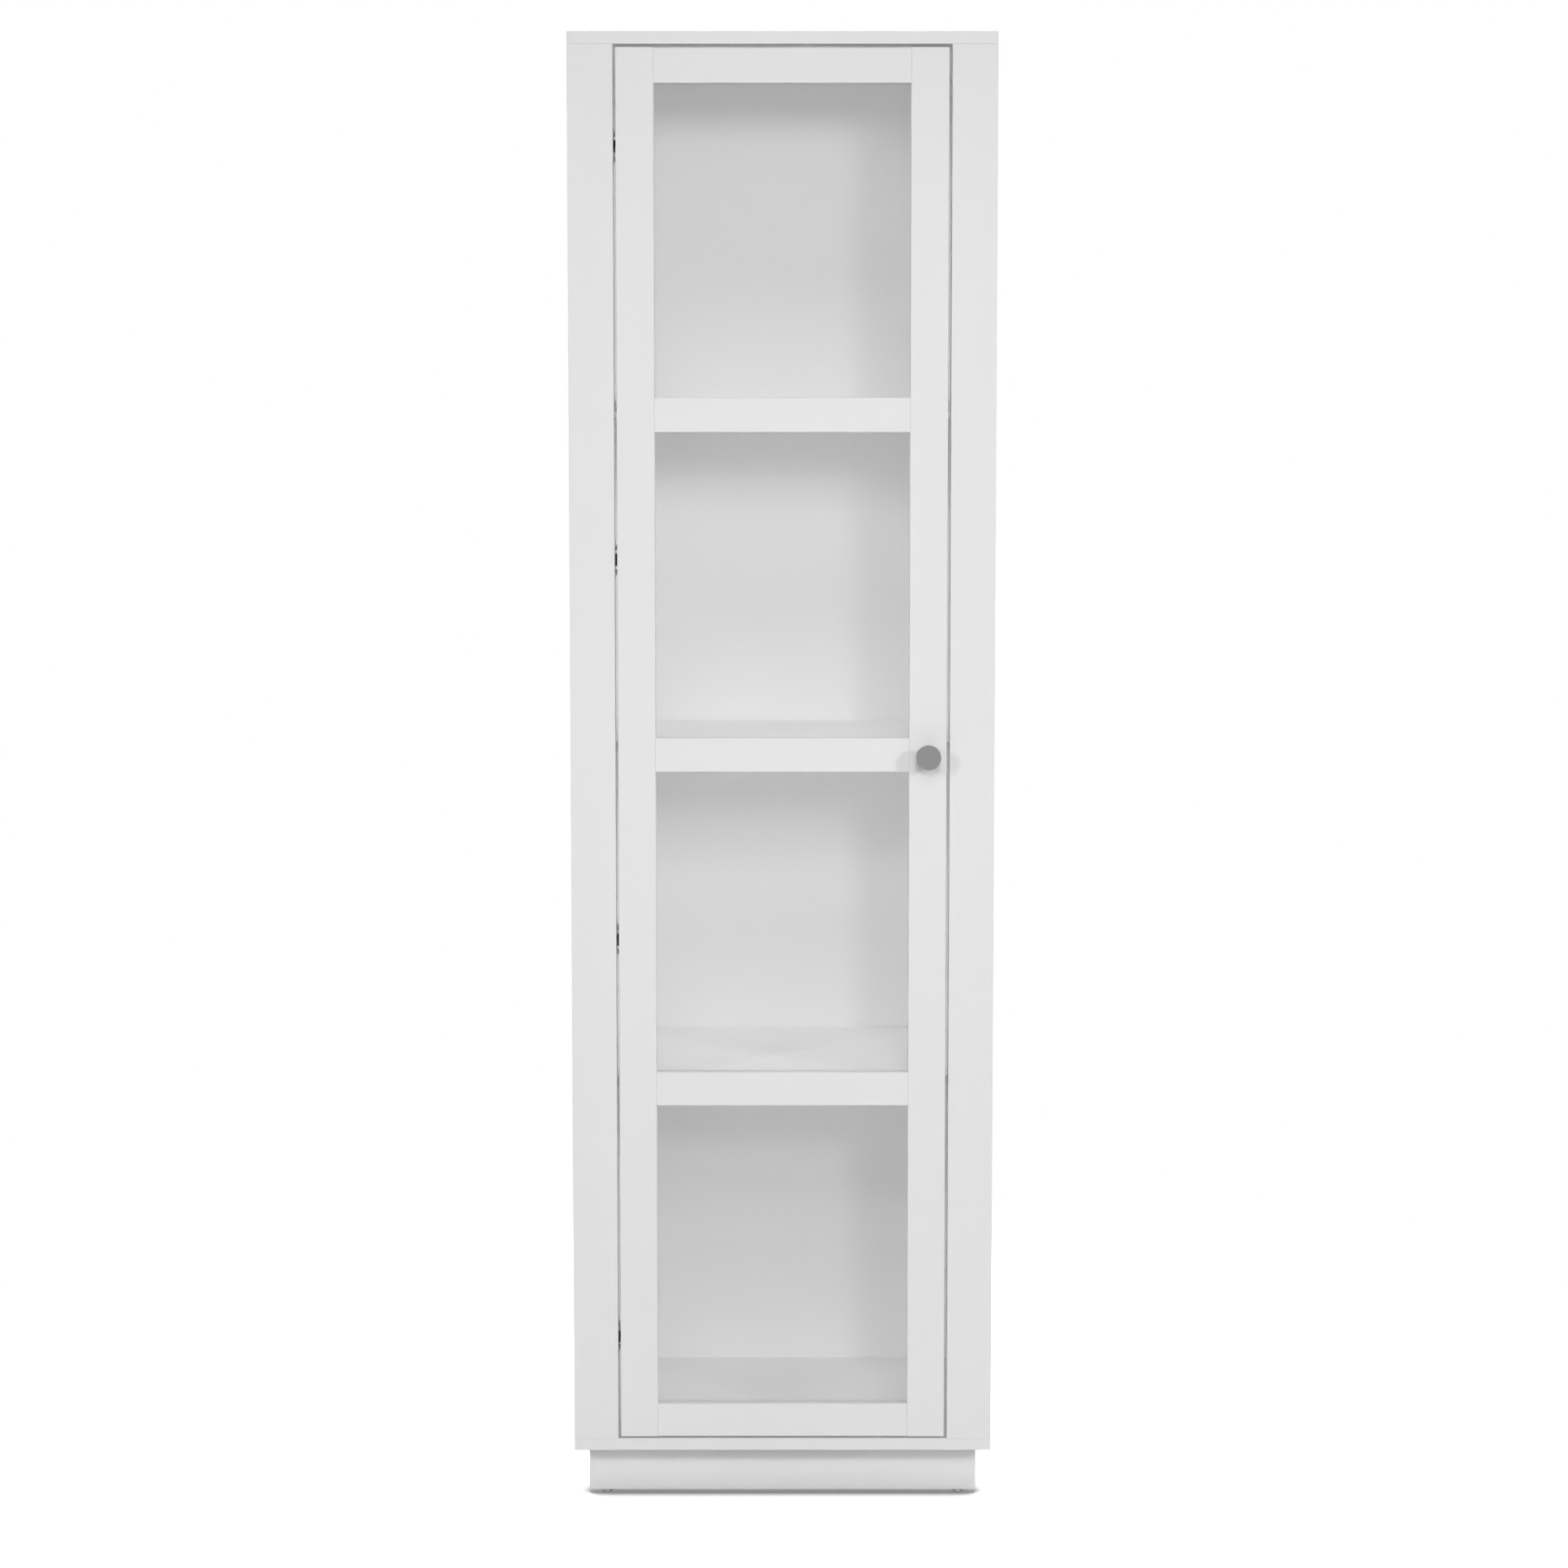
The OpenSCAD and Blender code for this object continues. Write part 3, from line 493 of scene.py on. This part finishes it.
def screw_surface(head_r, head_t, shank_r, reach, fittings):
    """Pan-headed screw with a cross recess and a thread.

    The head stands from zero up, and the shank reaches down to -reach. The recess is a plus
    sign scaled ring by ring towards its floor. The head follows a quarter of an ellipse. The
    shank's radius is a sawtooth of the height plus the angle, which winds the thread, and
    tapers over the last two threads.
    """
    # From the floor to the edge of the recess: share of its outline, and share of the head's height
    recess = ((0.35, 0.38), (0.7, 0.42), (1.0, 0.97), (1.04, 1.0))
    # The head's rings, and as shares their gap round the recess, its flat top, skirt and underside
    head_rings, clear, flat_top, skirt, under = 7, 1.05, 0.7, 0.35, 0.995
    # The shank's first row as a share of its length, and its point as a share of its radius
    rows_a_thread, first_row, point = 5, 0.06, 0.08
    angle = once_round(fittings.round_steps)
    around = np.ones(fittings.round_steps)
    plus = cross_reach(angle, head_r * fittings.recess, head_r * fittings.recess_arm)
    radius = [plus * wide for wide, _ in recess]
    height = [around * head_t * tall for _, tall in recess]
    for lean in np.linspace(0.0, 1.0, head_rings) * np.pi / 2:
        radius.append(np.maximum(plus * clear, head_r * (flat_top + (1 - flat_top) * np.sin(lean))))
        height.append(around * head_t * (skirt + (1 - skirt) * np.cos(lean)))
    radius += [around * head_r * under, around * shank_r]
    height += [around * 0.0, around * 0.0]
    pitch = fittings.thread_pitch
    down = np.linspace(first_row, 1.0, int(reach / pitch * rows_a_thread))[:, None] * reach
    saw = np.abs((down / pitch + angle / (2 * np.pi)) % 1.0 - 0.5) * 2
    taper = np.clip((reach - down) / (2 * pitch), point, 1.0)
    shank = shank_r * (1 - fittings.thread_depth * saw) * taper
    return turned_surface(np.concatenate([radius, shank]), np.concatenate([height, -down * around]))


class CABINET_OT_paint_boards(bpy.types.Operator):
    """Give every painted board its white satin paint"""

    bl_idname = "cabinet.paint_boards"
    bl_label = "Paint the Boards"

    # How much rougher the back board is than the paint
    duller = 0.06

    def execute(self, context):
        finish = context.scene.cabinet_finishes
        dress("white_paint", painted("white_paint", finish.paint, finish.paint_gloss))
        # The shelves take that brighter copy of the white paint, painted light standing in for
        # light inside the cabinet
        shelves = painted("shelf_white_painted_light", finish.shelf_white_painted_light, finish.paint_gloss)
        for name in SHELVES:
            NODES[name].data.materials[0] = shelves
        # The back board's brighter white is partly painted light inside the cabinet
        dress("back_board", painted("back_board", finish.back, finish.paint_gloss + self.duller))
        return {"FINISHED"}


class CABINET_OT_glaze_door(bpy.types.Operator):
    """Make the four panes of clear float glass"""

    bl_idname = "cabinet.glaze_door"
    bl_label = "Glaze the Door"

    def execute(self, context):
        dress("glass", float_glass("clear_glass", context.scene.cabinet_finishes.glass))
        return {"FINISHED"}


class CABINET_OT_plate_metal(bpy.types.Operator):
    """Plate the hinges, the shelf supports and the screws"""

    bl_idname = "cabinet.plate_metal"
    bl_label = "Plate the Metal"

    def execute(self, context):
        finish = context.scene.cabinet_finishes
        hinges = plated("hinge_nickel", finish.nickel, roughness=0.30, grain=(1.0, 1.0, 0.05))
        screws = plated("screw_steel", finish.steel, roughness=0.34, grain=(1.0, 1.0, 1.0))
        dress("hinge_nickel", hinges)
        dress("screw_steel", screws)
        return {"FINISHED"}


class CABINET_OT_turn_knob(bpy.types.Operator):
    """Turn the knob, with a shallow crown on its face"""

    bl_idname = "cabinet.turn_knob"
    bl_label = "Turn the Knob"

    def execute(self, context):
        fittings = context.scene.cabinet_fittings
        low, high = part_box("knob")
        middle = ((low.x + high.x) / 2, high.y, (low.z + high.z) / 2)
        profile = self.profile((high.x - low.x) / 2, high.y - low.y, fittings)
        surface = place(profile_surface(profile, 2 * fittings.round_steps), (0, -1, 0), middle)
        tint = context.scene.cabinet_finishes.knob
        metal = turned_metal("knob_metal", tint, roughness=0.38, middle=middle)
        build("turned_knob", [surface], metal, DOOR, "knob")
        return {"FINISHED"}

    def profile(self, radius, reach, fittings):
        """Profile of the knob: bore, foot, neck, flare, the head's rounded edge, and its face.

        The face rises from its rim as the square of the distance from the rim to the middle falls.
        """
        foot, neck = fittings.knob_foot, fittings.knob_neck
        bore_r, neck_start = 0.0021, 0.0035
        foot_edge, foot_side, foot_round = 0.0003, 0.0012, 0.0004
        flare, back_rim, rim, middle_r, face_rings = 0.005, 0.001, 0.0012, 0.0004, 14
        under, edge = reach - fittings.knob_head, reach - fittings.knob_crown
        profile = [(bore_r, fittings.knob_bore), (bore_r, 0.0), (foot - foot_edge, 0.0)]
        profile += [(foot, foot_edge), (foot, foot_side)]
        profile += [(foot - foot_round, foot_side + foot_round), (neck, neck_start)]
        profile += arc((neck + flare, under - flare), flare, 180, 90, steps=12)
        profile += arc((radius - back_rim, under + back_rim), back_rim, -90, 0, steps=7)
        profile += arc((radius - rim, edge - rim), rim, 0, 84, steps=9)
        across = np.linspace(radius - rim, middle_r, face_rings)
        rise = fittings.knob_crown * (1 - (across / (radius - rim)) ** 2)
        return profile + list(zip(across, edge + rise))


class CABINET_OT_finish_timber(bpy.types.Operator):
    """Give the dowels and corner blocks their bare beech"""

    bl_idname = "cabinet.finish_timber"
    bl_label = "Finish the Timber"

    def execute(self, context):
        beech = context.scene.cabinet_finishes.beech
        dress("dowel_beech", bare_beech("bare_beech", beech, along=(1.0, 1.0, 0.06)))
        return {"FINISHED"}


class CABINET_OT_drive_screws(bpy.types.Operator):
    """Replace the plain screws by screws with a cross recess and a thread"""

    bl_idname = "cabinet.drive_screws"
    bl_label = "Drive the Screws"

    # Node, its piece, its body, the screws' axis, and 1 or -1 for the way that they point
    groups = (
        ("plinth_screws", "plinth_cross_screws", CARCASS, 2, 1),
        ("hinge_plate_screws", "hinge_plate_cross_screws", CARCASS, 0, -1),
        ("hinge_arm_screws", "hinge_arm_cross_screws", CARCASS, 0, -1),
        ("hinge_cup_screws", "hinge_cup_cross_screws", DOOR, 1, -1),
        ("knob_screw", "knob_cross_screw", DOOR, 1, -1),
    )

    def execute(self, context):
        fittings = context.scene.cabinet_fittings
        material = bpy.data.materials["screw_steel"]
        for replaced, name, body, axis, points_to in self.groups:
            across = (axis + 1) % 3
            surfaces = []
            for low, high in solids(replaced, axis):
                head_r = (high[across] - low[across]) / 2
                head_t = head_r * HEAD_SHARE
                reach = high[axis] - low[axis] - head_t
                direction = np.zeros(3)
                direction[axis] = -points_to
                origin = (low + high) / 2
                origin[axis] = low[axis] + head_t if points_to > 0 else high[axis] - head_t
                screw = screw_surface(head_r, head_t, SHANK_RADIUS[replaced], reach, fittings)
                surfaces.append(place(screw, direction, origin))
            build(name, surfaces, material, body, replaced)
        return {"FINISHED"}


class CABINET_OT_turn_fittings(bpy.types.Operator):
    """Turn the door bumpers and the plinth's glides"""

    bl_idname = "cabinet.turn_fittings"
    bl_label = "Turn the Fittings"

    def execute(self, context):
        finish = context.scene.cabinet_finishes
        steps = context.scene.cabinet_fittings.round_steps
        soft = moulded("bumper_silicone", finish.silicone, roughness=0.30)
        shader = soft.node_tree.nodes["Principled BSDF"]
        shader.inputs["Subsurface Weight"].default_value = 0.25
        shader.inputs["Subsurface Scale"].default_value = 0.002
        domes = []
        for low, high in solids("door_bumpers", 1):
            profile = self.dome((high[0] - low[0]) / 2, high[1] - low[1])
            middle = ((low[0] + high[0]) / 2, high[1], (low[2] + high[2]) / 2)
            domes.append(place(profile_surface(profile, steps), (0, -1, 0), middle))
        build("silicone_bumpers", domes, soft, CARCASS, "door_bumpers")
        hard = moulded("glide_plastic", finish.plastic, roughness=0.45)
        feet = []
        for low, high in solids("glides", 2):
            profile = self.glide((high[0] - low[0]) / 2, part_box("plinth_front")[0].z, high[2])
            middle = ((low[0] + high[0]) / 2, (low[1] + high[1]) / 2, 0)
            feet.append(place(profile_surface(profile, steps), (0, 0, 1), middle))
        build("plinth_glides", feet, hard, CARCASS, "glides")
        return {"FINISHED"}

    def dome(self, radius, tall):
        """Profile of a bumper: a flat back, a straight flank, and a quarter of an ellipse."""
        # As shares of the radius and of the height
        back, flank = 0.5, 0.35
        first_angle, rings = 12, 9
        profile = [(radius * back, 0.0), (radius, 0.0), (radius, tall * flank)]
        sweep = np.radians(np.linspace(first_angle, 90, rings))[:-1]
        rise = flank + (1 - flank) * np.sin(sweep)
        return profile + list(zip(radius * np.cos(sweep), tall * rise))

    def glide(self, radius, seat, top):
        """Profile of a nail-on glide: a flat sole, a rounded flank, a shoulder and a nail."""
        nail_r, nail_point = 0.0012, 0.002
        # As shares: the point of the nail's radius, the sole from its middle to its rim of the
        # whole radius, and the flank of the seat's height
        point_r, middle, sole, flank = 0.3, 0.35, 0.68, 0.7
        rings = 7
        profile = [(radius * middle, 0.0), (radius * sole, 0.0)]
        sweep = np.radians(np.linspace(0, 90, rings))[1:]
        wide = radius * (sole + (1 - sole) * np.sin(sweep))
        profile += list(zip(wide, seat * flank * (1 - np.cos(sweep))))
        nail = [(nail_r, seat), (nail_r, top - nail_point), (nail_r * point_r, top)]
        return profile + [(radius, seat)] + nail


def lamp(name, spot, size, power, aim, beam=math.pi):
    """A soft lamp at spot that points at aim, unseen by the camera and in mirroring surfaces."""
    data = bpy.data.lights.new(name, "AREA")
    data.shape = "RECTANGLE"
    data.size, data.size_y = size
    data.energy = power
    data.spread = beam
    obj = bpy.data.objects.new(name, data)
    obj.visible_camera = False
    obj.visible_glossy = False
    bpy.context.scene.collection.objects.link(obj)
    # It shines along its own -Z, so it is tilted up from straight down, then turned about Z
    toward = np.asarray(aim, float) - np.asarray(spot, float)
    flat = math.hypot(toward[0], toward[1])
    obj.location = spot
    obj.rotation_euler = (math.atan2(flat, -toward[2]), 0.0, math.atan2(-toward[0], toward[1]))


def seen_directly(tree):
    """One for rays from the camera, and for those that a mirror or a pane sends on; else zero."""
    path = node(tree, "LightPath")
    first = worked(tree, "MAXIMUM", path.outputs["Is Camera Ray"], path.outputs["Is Glossy Ray"])
    return worked(tree, "MAXIMUM", first, path.outputs["Is Transmission Ray"])


class CABINET_OT_set_studio(bpy.types.Operator):
    """Set the floor, the lamps, the white room and the camera"""

    bl_idname = "cabinet.set_studio"
    bl_label = "Set the Studio"

    # Name, place, size and power
    lamps = (
        ("near_lamp", (0.8, -4.2, 1.9), (0.4, 0.4), 10.8),
        ("right_lamp", (3.3, -3.2, 2.2), (0.6, 0.6), 27.4),
        ("left_lamp", (-2.9, -3.2, 2.2), (0.6, 0.6), 21.2),
        ("middle_fill", (0.1, -2.55, 1.88), (0.5, 0.4), 5.8),
        ("high_lamp", (0.0, -6.5, 6.5), (2.5, 2.0), 48.0),
        ("right_side_lamp", (3.6, 1.2, 1.4), (1.4, 1.4), 35.0),
        ("left_side_lamp", (-3.6, 1.2, 1.4), (1.4, 1.4), 39.5),
        ("back_lamp", (0.3, 4.2, 1.6), (1.6, 1.4), 28.0),
        ("top_lamp", (0.0, 0.4, 4.4), (1.6, 1.2), 22.0),
    )
    # What they all point at
    aim = (0.0, -0.1, 0.9)
    # Weak strips that stand in for the light passed on between the white boards
    strips_under = (*SHELVES, "top_panel")
    strip_size = (0.44, 0.12)
    # They point straight down but for a hair, which settles which way round they lie
    strip_lean = 0.0001
    # Between these shares of open room over a spot, the painted dark line on the floor fades out
    shut_in, in_the_open = 0.5, 0.98
    # The floor starts to fade to plain white at this share of its clear distance
    fade_share = 0.6

    def execute(self, context):
        scene = context.scene
        studio = scene.cabinet_studio
        scene.view_settings.view_transform = "Standard"
        scene.cycles.diffuse_bounces = studio.bounces
        self.lay_floor(studio)
        self.light_room(scene, studio)
        for values in self.lamps:
            lamp(*values, self.aim, studio.lamp_beam)
        for name in self.strips_under:
            spot = (0.0, studio.strip_place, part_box(name)[0].z - studio.strip_drop)
            below = (spot[0], spot[1] + self.strip_lean, 0.0)
            lamp(name + "_strip", spot, self.strip_size, studio.strip_light, below)
        data = bpy.data.cameras.new("camera")
        data.sensor_width = 36.0
        data.lens = studio.camera_lens
        data.shift_y = studio.camera_shift
        camera = bpy.data.objects.new("camera", data)
        scene.collection.objects.link(camera)
        camera.location = studio.camera_place
        camera.rotation_euler = (math.pi / 2 - studio.camera_tilt, 0.0, 0.0)
        scene.camera = camera
        return {"FINISHED"}

    def lay_floor(self, studio):
        """The pale floor that the cabinet stands on."""
        half = studio.floor_size / 2
        corners = [(-half, -half, 0), (half, -half, 0), (half, half, 0), (-half, half, 0)]
        mesh = bpy.data.meshes.new("floor")
        mesh.from_pydata(corners, [], [(0, 1, 2, 3)])
        mesh.materials.append(self.floor_white(studio))
        floor = bpy.data.objects.new("floor", mesh)
        bpy.context.scene.collection.objects.link(floor)

    def floor_white(self, studio):
        """White that takes the cabinet's shadow near it, cast by the lamps and also painted,
        and is plain white further out.

        The painted darker line at the foot comes from how far the floor is shut in there, and
        darkens both the floor's colour and its white lift. It is painted darkest in front of the
        plinth and fades beside it. The white lift is for the camera, mirrors and panes alone.
        """
        material = bpy.data.materials.new("floor_white")
        tree = cleared(material)
        spot = node(tree, "TexCoord").outputs["Object"]
        parts = node(tree, "SeparateXYZ")
        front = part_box("plinth_front")[0].y
        # Painted shade: set by the place along Y, darkest in front of the plinth, lighter beside
        # and behind it
        behind = node(
            tree, "MapRange", From_Min=front, From_Max=front + studio.contact,
            To_Min=studio.painted_shade_front_share, To_Max=studio.painted_shade_side_share,
        )
        contact = node(tree, "AmbientOcclusion", samples=16, Distance=studio.contact)
        painted_shade_factor = node(
            tree, "MapRange", From_Min=self.shut_in, From_Max=self.in_the_open, To_Max=1.0
        )
        join(
            tree, (spot, parts.inputs[0]), (parts.outputs["Y"], behind.inputs["Value"]),
            (behind.outputs[0], painted_shade_factor.inputs["To Min"]),
            (contact.outputs["AO"], painted_shade_factor.inputs["Value"]),
        )
        direct = seen_directly(tree)
        matt = node(tree, "BsdfDiffuse")
        # Painted shade: the floor's colour and white lift are darkened by how shut in the floor is
        tone = blended(tree, painted_shade_factor.outputs[0], (0.0, 0.0, 0.0), (studio.floor_tone,) * 3)
        lift = node(tree, "Emission")
        lifted = worked(tree, "MULTIPLY", painted_shade_factor.outputs[0], studio.floor_lift)
        strength = worked(tree, "MULTIPLY", lifted, direct)
        near = node(tree, "AddShader")
        join(
            tree, (tone, matt.inputs["Color"]), (strength, lift.inputs["Strength"]),
            (matt.outputs[0], near.inputs[0]), (lift.outputs[0], near.inputs[1]),
        )
        white = node(tree, "Emission")
        reach = node(tree, "VectorMath", operation="LENGTH")
        fade_start = self.fade_share * studio.floor_clear
        fade = node(tree, "MapRange", From_Min=fade_start, From_Max=studio.floor_clear)
        join(tree, (spot, reach.inputs[0]), (reach.outputs["Value"], fade.inputs["Value"]))
        far = worked(tree, "MULTIPLY", fade.outputs[0], direct)
        surface = mixed(tree, far, near.outputs[0], white.outputs[0])
        join(tree, (surface, node(tree, "OutputMaterial").inputs["Surface"]))
        return material

    def light_room(self, scene, studio):
        """Even light from all round, plain white where it is seen directly."""
        world = bpy.data.worlds.new("room")
        scene.world = world
        tree = cleared(world)
        plain = (1.0, 1.0, 1.0, 1.0)
        room = node(tree, "Background", Color=plain, Strength=studio.world_light)
        white = node(tree, "Background", Color=plain)
        surface = mixed(tree, seen_directly(tree), room.outputs[0], white.outputs[0])
        join(tree, (surface, node(tree, "OutputWorld").inputs["Surface"]))


STEPS = (
    CABINET_OT_paint_boards,
    CABINET_OT_glaze_door,
    CABINET_OT_plate_metal,
    CABINET_OT_turn_knob,
    CABINET_OT_finish_timber,
    CABINET_OT_drive_screws,
    CABINET_OT_turn_fittings,
    CABINET_OT_set_studio,
)


class CABINET_PT_sidebar(bpy.types.Panel):
    """The cabinet's steps, in order, and its sizes and colours."""

    bl_label = "Display Cabinet"
    bl_idname = "CABINET_PT_sidebar"
    bl_space_type = "VIEW_3D"
    bl_region_type = "UI"
    bl_category = "Cabinet"

    def draw(self, context):
        for step in STEPS:
            self.layout.operator(step.bl_idname)
        for group in GROUPS:
            settings = getattr(context.scene, group)
            box = self.layout.box()
            for name in settings.bl_rna.properties.keys():
                if name not in ("rna_type", "name"):
                    box.prop(settings, name)


GROUPS = {
    "cabinet_finishes": CabinetFinishes,
    "cabinet_fittings": CabinetFittings,
    "cabinet_studio": CabinetStudio,
}


def register():
    for group, kind in GROUPS.items():
        bpy.utils.register_class(kind)
        setattr(bpy.types.Scene, group, PointerProperty(type=kind))
    for kind in (*STEPS, CABINET_PT_sidebar):
        bpy.utils.register_class(kind)


def unregister():
    for kind in reversed((*STEPS, CABINET_PT_sidebar)):
        bpy.utils.unregister_class(kind)
    for group, kind in reversed(GROUPS.items()):
        delattr(bpy.types.Scene, group)
        bpy.utils.unregister_class(kind)


def main():
    register()
    for step in STEPS:
        group, name = step.bl_idname.split(".")
        getattr(getattr(bpy.ops, group), name)()


if __name__ == "__main__":
    main()
